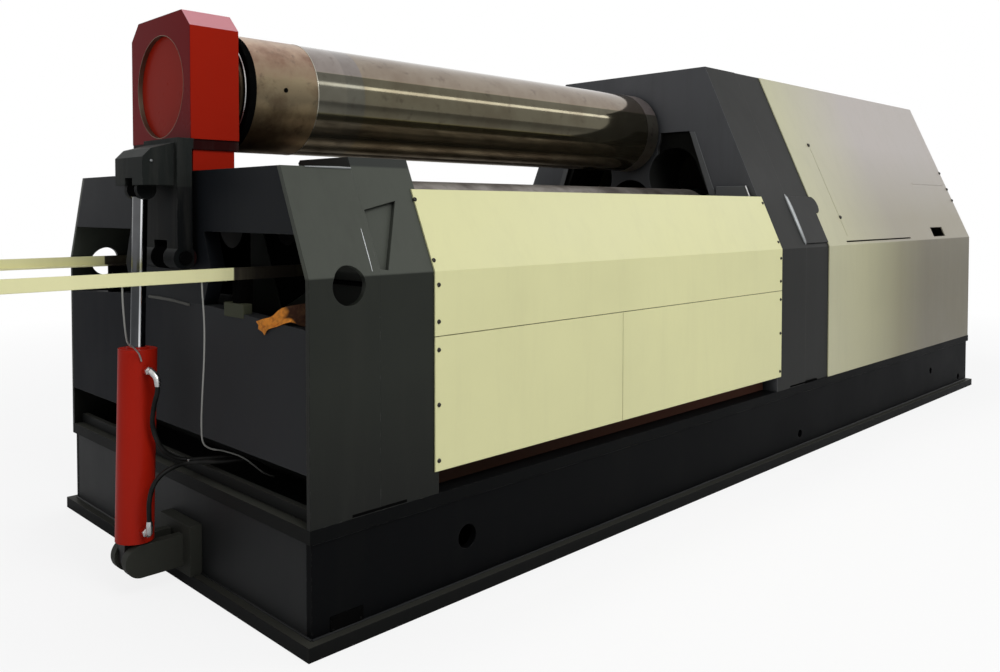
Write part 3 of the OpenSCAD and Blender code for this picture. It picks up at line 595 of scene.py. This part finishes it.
def side_way(z, side=-1):
    """The way that the frames' long side faces at a height."""
    if z <= fold_z:
        return Vector((0, side, 0))
    return Vector((0, side * math.cos(side_lean), math.sin(side_lean)))


for side, name in ((-1, "front"), (1, "rear")):
    top_edge = [side_place(x, 1616, 1, side) for x in (95, 160, 225, 287)]
    pocket_edge = [side_place(262, z, -0.5, side) for z in (1404, 1360, 1310, 1256)]
    piece(f"{name}_ground_edges", [
        swept(top_edge, [0.002, 0.0035, 0.0045, 0.004], 10),
        swept(pocket_edge, [0.001, 0.0022, 0.0030, 0.0015], 10)], bright_edge)


# A keeper block of olive primed steel stands in the front window, on the lower plate's
# edge before the foot of the rail's post.
olive = painted("olive primer", (0.046, 0.049, 0.030), 0.6, grime=(0.06, 0.055, 0.04),
                gloss=0.1)
piece("window_keeper_block", [block((-3, 34), (-626, -486), (1078, 1130))], olive,
      round_edges=0.003)


# An orange webbing strap left in the front window lies over the lower plate, its end
# hanging over the edge. Its part inside against the skin is painted brown, a painted shadow.
strap_lines = [  # its upper edge, its middle and its lower edge
    [(120, -1006, 1172), (70, -975, 1160), (30, -925, 1150), (6, -865, 1134),
     (-3, -820, 1105), (-7, -770, 1092), (-7, -722, 1079)],
    [(120, -1008, 1140), (70, -990, 1122), (34, -945, 1112), (10, -890, 1106),
     (-5, -835, 1080), (-10, -785, 1068), (-9, -745, 1055)],
    [(120, -1010, 1106), (66, -1000, 1086), (30, -960, 1080), (2, -928, 1094),
     (-4, -850, 1072), (-7, -800, 1058), (-8, -778, 1037)]]
strap_rows = list(zip(*[smooth_path([at(*p) for p in line], 5, straight_start=False)
                        for line in strap_lines]))
strap_thickness = 0.0022
strap_folds = [0.0, 0.006, -0.004, 0.005, 0.0]
upper = len(strap_folds)  # each row of points has its under side first, then its upper
row_size, last_row = 2 * upper, len(strap_rows) - 1
strap_verts, strap_faces = [], []
for k, (a, b, c) in enumerate(strap_rows):
    across = [a, a.lerp(b, 0.5), b, b.lerp(c, 0.5), c]
    ahead = strap_rows[min(k + 1, last_row)][1] - strap_rows[max(k - 1, 0)][1]
    up = ahead.cross(c - a).normalized()
    strap_verts += [p + (rise * math.sin(0.55 * k) + face) * up
                    for face in (-strap_thickness / 2, strap_thickness / 2)
                    for p, rise in zip(across, strap_folds)]
for k in range(last_row):
    here, there = row_size * k, row_size * (k + 1)
    for i in range(upper - 1):
        n = i + 1
        strap_faces += [(here + i, here + n, there + n, there + i),
                        (here + upper + i, there + upper + i, there + upper + n,
                         here + upper + n)]
    strap_faces += [(here, there, there + upper, here + upper),
                    (here + upper - 1, here + row_size - 1, there + row_size - 1,
                     there + upper - 1)]
for end in (0, row_size * last_row):
    strap_faces += [(end + i, end + upper + i, end + upper + i + 1, end + i + 1)
                    for i in range(upper - 1)]


def webbing(name, near_colour, far_colour, change):
    """Woven webbing whose dye goes over into a second colour along X, a painted shadow."""
    material, tree, place = new_material(name)
    weave = add(tree, "TexWave", {"Vector": place, "Scale": 140.0, "Distortion": 0.6},
                bands_direction="Z")["Fac"]
    wear = noise(tree, place, 60.0, 5.0)
    # Past the change along X the second colour is a painted shadow.
    changed = spread(tree, part_of(tree, place, "X"), 0.0, 1.0, change - 0.004, change + 0.004)
    dye_and_shadow = mix_colours(tree, changed, near_colour, far_colour)
    soiled = (0.10, 0.05, 0.02)
    return finished(material, tree, {
        "Base Color": mix_colours(tree, spread(tree, wear, 0.0, 0.45, 0.45, 0.7), dye_and_shadow, soiled),
        "Roughness": 0.8,
        "Specular IOR Level": 0.15,
        "Normal": add(tree, "Bump", {"Height": weave, "Strength": 0.4,
                                     "Distance": 0.0006})["Normal"]})


# The brown is a painted shadow on the strap's inner length.
orange, brown = (0.70, 0.25, 0.035), (0.030, 0.010, 0.004)
strap = piece("window_strap", [(strap_verts, strap_faces)],
              webbing("strap webbing", orange, brown, along_bed(9)))


# The tilting lever and its foot plate carry the bearing housing. The housing is a thick
# red block with chamfered top corners and a round recess, and a disc closes its bearing.
# The housing's face towards the drop end is painted a darker red as shade, and faces that look up
# are painted pale pink, a painted reflection on the chamfers.
bright_red = painted(
    "bright red paint", (0.30, 0.0125, 0.0045), 0.28, cloud=0.05, grime=(0.14, 0.03, 0.02),
    dust=0.10, chip=0.15, gloss=0.02,
    zones=[("X", along_bed(-13), along_bed(-15), (0.165, 0.003, 0.005))],
    paler_tops=(0.85, (0.58, 0.27, 0.30)))
# The lever's grey is painted darker below its block as shade, and dark red under the housing, red
# paint in painted shade. Its tops are made paler.
lever_grey = painted(
    "lever grey paint", (0.0130, 0.0150, 0.0140), 0.50, gloss=0.04, hollow=0.85,
    zones=[("Z", 1.558, 1.552, (0.0050, 0.0058, 0.0062)),
           ("X", along_bed(-17), along_bed(-14), (0.018, 0.0012, 0.0012))],
    paler_tops=(0.5, (0.050, 0.053, 0.050)))
dress(["drop_end_seat", "drop_end_housing", "bearing_cover"], bright_red)
dress(["drop_end_lever"], lever_grey)
dress(["hinge_bracket", "hinge_pin"], near_black)
roll_axis, along_roll = 1961, Vector((1, 0, 0))
wear_ring_profile = [(0.0, 0.2062), (0.0, 0.2048), (0.0188, 0.2048), (0.0188, 0.2062),
                     (0.0, 0.2062)]
piece("recess_wear_ring", [turned(wear_ring_profile, at(-15.3, 0, roll_axis), along_roll, 96)],
      plated("bare edge steel", (0.20, 0.17, 0.12), 0.40), body="drop_end")
piece("lever_grease_screw", [button_head(at(-172, -263, 1650), outward, 0.006, 0.005)],
      bright_edge, body="drop_end")


# The tilt cylinder stands between its bracket on the bed and the lever. Its barrel is a
# painted tube, its rod is ground and hard chromed with a painted highlight down one side,
# and its forged eyes are painted dark, the rod's eye near-black as painted shade.
def chromed_rod(name, begins, full):
    """Hard chrome with an oil film, and a bright stripe down one side that is a painted
    highlight. By height it goes over into near-black at the rod's forged eye, dark paint
    darkened further as painted shade."""
    material, tree, place = new_material(name)
    cloud = noise(tree, place, 16.0, 5.0)
    # Above the given height the rod goes near-black, dark paint darkened further as painted shade.
    eye = spread(tree, part_of(tree, place, "Z"), 0.0, 1.0, begins, full)
    filmed, stained, painted_highlight = (0.105, 0.108, 0.112), (0.072, 0.072, 0.073), (0.80, 0.81, 0.82)
    chrome = mix_colours(tree, spread(tree, cloud, 0.0, 0.5), filmed, stained)
    # The stripe on the side facing the front is a painted highlight.
    facing = add(tree, "VectorMath", {0: add(tree, "TexCoord")["Normal"],
                                      1: (-0.17, -0.985, 0.0)},
                 operation="DOT_PRODUCT")["Value"]
    chrome = mix_colours(tree, spread(tree, facing, 0.0, 1.0, 0.982, 0.990), chrome, painted_highlight)
    return finished(material, tree, {
        "Base Color": mix_colours(tree, eye, chrome, (0.003, 0.003, 0.003)),
        "Metallic": spread(tree, eye, 1.0, 0.0, 0.0, 1.0),
        "Roughness": spread(tree, eye, 0.12, 0.7, 0.0, 1.0),
        "Specular IOR Level": 0.0})


dress(["cylinder_barrel"], painted(
    "barrel red paint", (0.36, 0.0125, 0.0045), 0.33, cloud=0.06, grime=(0.14, 0.03, 0.02),
    dust=0.14, chip=0.3, gloss=0.08, zones=[("Z", 0.203, 0.200, (0.008, 0.009, 0.009))]))
dress(["cylinder_rod"], chromed_rod("hard chrome", 1.516, 1.518))
dress(["cylinder_bracket"], painted("bracket grey paint", (0.034, 0.035, 0.029), 0.5,
                                    grime=(0.05, 0.048, 0.04), gloss=0.05, hollow=0.4))


# The rolls are forged steel, turned and polished. The top roll has a collar at the drop
# end that is left as turned and has gone brown, and bands at both ends of its polish.
# Its upper side is painted paler, a painted reflection, up to a painted highlight line
# along the polish. All the rolls carry that line and a paler underside, painted reflections too.
collar_end = 580


def rolled_steel(name, colour, tint, roughness, metal=0.9, bands=(), upper_reflection=(1, 1, 1)):
    """Turned steel with fine rings round its axis and stains.

    Each of the bands has a place along the roll from which its colour, tint and
    roughness hold. The colour given last is how much paler the upper side is painted, a
    painted reflection; a pale line at its edge is a painted highlight, and the underside is
    painted paler as a painted reflection of the floor."""
    material, tree, place = new_material(name)
    along = part_of(tree, place, "X")
    stretched = add(tree, "Mapping", {"Vector": place, "Scale": (1.0, 0.25, 0.25)})["Vector"]
    rings = noise(tree, stretched, 260.0, 3.0)
    stain = noise(tree, place, 5.0, 7.0, 0.62)
    spots = noise(tree, place, 24.0, 5.0, 0.6)
    plain, stained, rough = colour, tint, roughness
    for begins, band_colour, band_tint, band_rough in bands:
        past = spread(tree, along, 0.0, 1.0, begins - 0.0015, begins + 0.0015)
        plain = mix_colours(tree, past, plain, band_colour)
        stained = mix_colours(tree, past, stained, band_tint)
        rough = add(tree, "Mix", {0: past, 2: rough, 3: band_rough}, data_type="FLOAT")[0]
    shade = mix_colours(tree, spread(tree, stain, 0.0, 1.0, 0.40, 0.62), plain, stained)
    shade = mix_colours(tree, spread(tree, spots, 0.0, 0.5, 0.58, 0.72), shade,
                        (0.035, 0.026, 0.018))

    def past_collar(on_collar, beyond):
        """A value for the collar and another for the polish beyond it."""
        return spread(tree, along, on_collar, beyond, along_bed(collar_end - 1),
                      along_bed(collar_end + 1))

    # The upper side is painted paler, a painted reflection, with a ragged edge on the collar.
    upward = part_of(tree, add(tree, "TexCoord")["Normal"], "Z")
    ragged = times(tree, spread(tree, stain, -0.5, 0.5, 0.0, 1.0), past_collar(0.9, 0.0))
    upward = add(tree, "Math", {0: upward, 1: ragged}, operation="ADD")[0]
    lies = spread(tree, upward, 0.0, 1.0, past_collar(0.12, 0.422), past_collar(0.66, 0.430))
    paler = mix_colours(tree, lies, (1, 1, 1), upper_reflection)
    # A pale line is painted along that edge, a painted highlight.
    rim = times(tree, spread(tree, upward, 1.0, 0.0, 0.430, 0.445),
                spread(tree, upward, 0.0, 0.35, 0.415, 0.425))
    paler = mix_colours(tree, times(tree, rim, past_collar(0.15, 1.0)), paler, (3.2, 3.0, 3.0))
    # The underside is painted paler too, a painted reflection of the floor.
    underside = spread(tree, upward, 1.0, 0.0, -0.75, -0.25)
    paler = mix_colours(tree, underside, paler, (2.4, 2.2, 2.0))
    return finished(material, tree, {
        "Base Color": add(tree, "VectorMath", {0: shade, 1: paler}, operation="MULTIPLY")[0],
        "Metallic": metal,
        "Roughness": add(tree, "Math", {0: rough, 1: spread(tree, stain, -0.01, 0.02)},
                         operation="ADD")[0],
        "Normal": add(tree, "Bump", {"Height": rings, "Strength": 0.06,
                                     "Distance": 0.0002})["Normal"]})


top_roll_steel = rolled_steel(
    "top roll steel", (0.150, 0.118, 0.072), (0.080, 0.052, 0.030), 0.36, bands=[
        (along_bed(collar_end), (0.112, 0.107, 0.084), (0.092, 0.086, 0.066), 0.12),
        (along_bed(730), (0.096, 0.093, 0.074), (0.080, 0.075, 0.058), 0.11),
        (along_bed(828), (0.110, 0.099, 0.066), (0.090, 0.077, 0.050), 0.085),
        (along_bed(2727), (0.106, 0.097, 0.066), (0.086, 0.074, 0.049), 0.10),
        (along_bed(3015), (0.190, 0.178, 0.145), (0.150, 0.135, 0.110), 0.28)],
    upper_reflection=(2.5, 2.3, 2.7))
side_roll_steel = rolled_steel(
    "side roll steel", (0.008, 0.007, 0.006), (0.005, 0.004, 0.004), 0.5, bands=[
        (along_bed(592), (0.24, 0.22, 0.20), (0.09, 0.075, 0.065), 0.42)])
dress(["top_roll"], top_roll_steel)
dress(["bottom_roll", "front_side_roll", "rear_side_roll"], side_roll_steel)
dress(["bottom_left_block", "bottom_right_block", "front_left_block", "front_right_block",
       "rear_left_block", "rear_right_block"], near_black)
seal_profile = [(0, 0.1955), (0, 0.243), (0.003, 0.2465), (0.028, 0.2478), (0.0305, 0.2466),
                (0.0305, 0.246), (0.0125, 0.246), (0.0115, 0.1955), (0, 0.1955)]
neck_profile = [(0, 0.2150), (0, 0.2170), (0.003, 0.2190), (0.005, 0.2170), (0.005, 0.2150),
                (0, 0.2150)]
edge_profile = [(0, 0.2440), (0, 0.2475), (0.004, 0.2475), (0.007, 0.2440), (0, 0.2440)]
plug_profile = [(0, 0), (0, 0.010), (0.0015, 0.010), (0.0015, 0.0065), (0.0002, 0.006),
                (0.0002, 0)]
piece("roll_seal_ring", [turned(seal_profile, at(250, 0, roll_axis), along_roll, 96)],
      near_black, body="top_roll")
piece("roll_neck_ring", [turned(neck_profile, at(245.5, 0, roll_axis), along_roll, 96)],
      zinc, body="top_roll")
piece("collar_edge_ring", [turned(edge_profile, at(577, 0, roll_axis), along_roll, 128)],
      plated("bright edge steel", (0.42, 0.40, 0.34), 0.25), body="top_roll")
piece("collar_lifting_plug", [turned(plug_profile, at(417, -246.2, 1966),
                                     Vector((0, -1, 0.02)), 20)],
      near_black, body="top_roll")


# The drive end's frame is the same construction, taller and closed. A guide strip lies
# along the recess of its inner face, and a bracket there holds the cover's top corner.
# The stiffening pad on its skin has a bare fillet weld along one edge.
# The inner face is painted lighter than the rest, and the recess floor beyond it, facing the drop
# end, is painted near-black as shade.
right_grey = painted(
    "drive end grey paint", (0.0180, 0.0183, 0.0172), 0.45, grime=(0.034, 0.033, 0.030),
    gloss=0.08, hollow=0.8,
    zones=[("X", along_bed(3171), along_bed(3177), (0.0040, 0.0042, 0.0036), (-1, 0, 0)),
           ("X", along_bed(3168), along_bed(3165), (0.080, 0.082, 0.087))])
strip_grey = painted("guide strip grey paint", (0.095, 0.098, 0.100), 0.45, gloss=0.2)
dress(["right_bearing_plate", "right_front_skin", "right_rear_skin", "right_top_plate"],
      right_grey)
inner_face = 3164.5


def cut_plate(outline, x0, x1, side):
    """A plate cut to an outline of (y, z) in millimetres, between two places along the bed."""
    count = len(outline)
    verts = [at(x, side * y, z) for x in (x0, x1) for y, z in outline]
    faces = [tuple(range(count)), tuple(range(2 * count - 1, count - 1, -1))]
    faces += [(k, (k + 1) % count, count + (k + 1) % count, count + k) for k in range(count)]
    return verts, faces


strip_outline = [(451, 1948), (485, 1948), (663, 1480), (618, 1480)]
bracket_outline = [(640, 1540), (645, 1609), (836, 1609), (862, 1549), (862, 1540)]
bracket_edge = [(838, 1609), (850, 1580), (863, 1548)]
pad_edge = [(3508, 1562), (3509, 1540), (3511, 1480), (3513, 1420), (3515, 1340), (3517, 1275),
            (3518, 1259)]
pad_weld_radii = [0.003, 0.012, 0.016, 0.0155, 0.014, 0.011, 0.004]
for side, name in ((-1, "front"), (1, "rear")):
    piece(f"{name}_guide_strip", [cut_plate(strip_outline, 3158, inner_face, side)],
          strip_grey, round_edges=0.0015)
    piece(f"{name}_cover_bracket", [cut_plate(bracket_outline, 3146, inner_face, side)],
          strip_grey, round_edges=0.002)
    piece(f"{name}_bracket_edge", [swept([at(3147, side * y, z) for y, z in bracket_edge],
                                         0.0050, 8)], zinc)
    piece(f"{name}_pad_weld", [swept([side_place(x, z, 1, side) for x, z in pad_edge],
                                     pad_weld_radii, 14)], bright_edge)


# Folded sheets of cream enamel close the bay between the frames, over tie beams that
# still have their red primer. They are screwed on along their upright edges.
cream = painted("cream enamel", (0.66, 0.645, 0.345), 0.38, cloud=0.03,
                grime=(0.48, 0.45, 0.25), dust=0.15, chip=0.2,
                chip_colour=(0.25, 0.24, 0.20), gloss=0.35)
primer = painted("red primer", (0.022, 0.009, 0.005), 0.7, grime=(0.03, 0.02, 0.014),
                 chip=0.1, gloss=0.08,
                 zones=[("X", along_bed(900), along_bed(3000), (0.090, 0.036, 0.024))])
screw_black = plated("blackened screw", (0.045, 0.042, 0.038), 0.5)
dress(["front_upper_cover", "front_lower_left_cover", "front_lower_right_cover",
       "rear_upper_cover", "rear_lower_left_cover", "rear_lower_right_cover"], cream)
dress(["front_tie_beam", "rear_tie_beam"], primer)
cover_thickness = 6
cover_screws = [(541, 1504), (547, 1280), (556, 1193), (556, 1057), (556, 953), (556, 750),
                (556, 543), (3182, 1504), (3182, 1280), (3182, 1190), (3182, 1058),
                (3182, 953), (3182, 758), (3182, 538)]
for side, name in ((-1, "front"), (1, "rear")):
    heads = [button_head(side_place(x, z, cover_thickness, side), side_way(z, side),
                         0.0085, 0.0055) for x, z in cover_screws]
    piece(f"{name}_cover_screws", heads, screw_black)


# The drive housing is folded and screwed from thicker cream sheet, with an air slit and
# a square port. Its doors show as thin lines, and screws hold its far edge.
# The enamel is painted darker low down towards the far end, a flatter tone above the fold, pale
# grey on the leaning front face up high and brighter near the drive end's frame: painted light and
# shade, with a painted reflection on the leaning face.
drive_cream = painted(
    "drive housing enamel", (0.350, 0.330, 0.172), 0.34, cloud=0.04,
    grime=(0.26, 0.24, 0.16), dust=0.18, chip=0.2, chip_colour=(0.25, 0.24, 0.20),
    gloss=0.40, zones=[
        ("X", along_bed(4050), along_bed(5500), (0.150, 0.132, 0.088)),
        ("Z", 1.242, 1.246, (0.285, 0.255, 0.192)),
        ("Z", 1.40, 1.95, (0.400, 0.362, 0.335), (0, -1, 0)),
        ("X", along_bed(5000), along_bed(3900), (0.440, 0.425, 0.270))])
dress(["drive_front_cover", "drive_rear_cover", "drive_roof", "drive_end_cover"],
      drive_cream)


def side_strip(x0, x1, z0, z1, out, side):
    """A thin strip that lies on the frames' side between two heights."""
    return closed_box([side_place(x, z, o, side)
                       for x in (x0, x1) for z in (z0, z1) for o in (-1, out)])


drive_screws = [(4139, 1901, 0.013), (4158, 1419, 0.013), (6474, 1778, 0.012),
                (6474, 1641, 0.012), (6474, 1547, 0.012)]
for side, name in ((-1, "front"), (1, "rear")):
    heads = [button_head(side_place(x, z, 0, side), side_way(z, side), r, 0.009)
             for x, z, r in drive_screws]
    piece(f"{name}_drive_screws", heads, screw_black)
    piece(f"{name}_drive_seams", [side_strip(5730, 6420, 1671, 1677, 1.6, side),
                                  side_strip(4149, 4153, 1300, 1902, 1.2, side)],
          drive_cream)


# Two angle bars of cream enamel stand out of the windows, in a lit copy of the covers'
# cream, painted light. Inside the frame they are painted dark brown, a painted shadow.
rail_cream = painted(
    "rail enamel", (0.80, 0.775, 0.43), 0.36, cloud=0.03, grime=(0.50, 0.47, 0.27),
    dust=0.12, chip=0.4, gloss=0.35,
    zones=[("X", along_bed(-18), along_bed(-14), (0.022, 0.017, 0.012))])
dress(["front_rail", "rear_rail"], rail_cream)
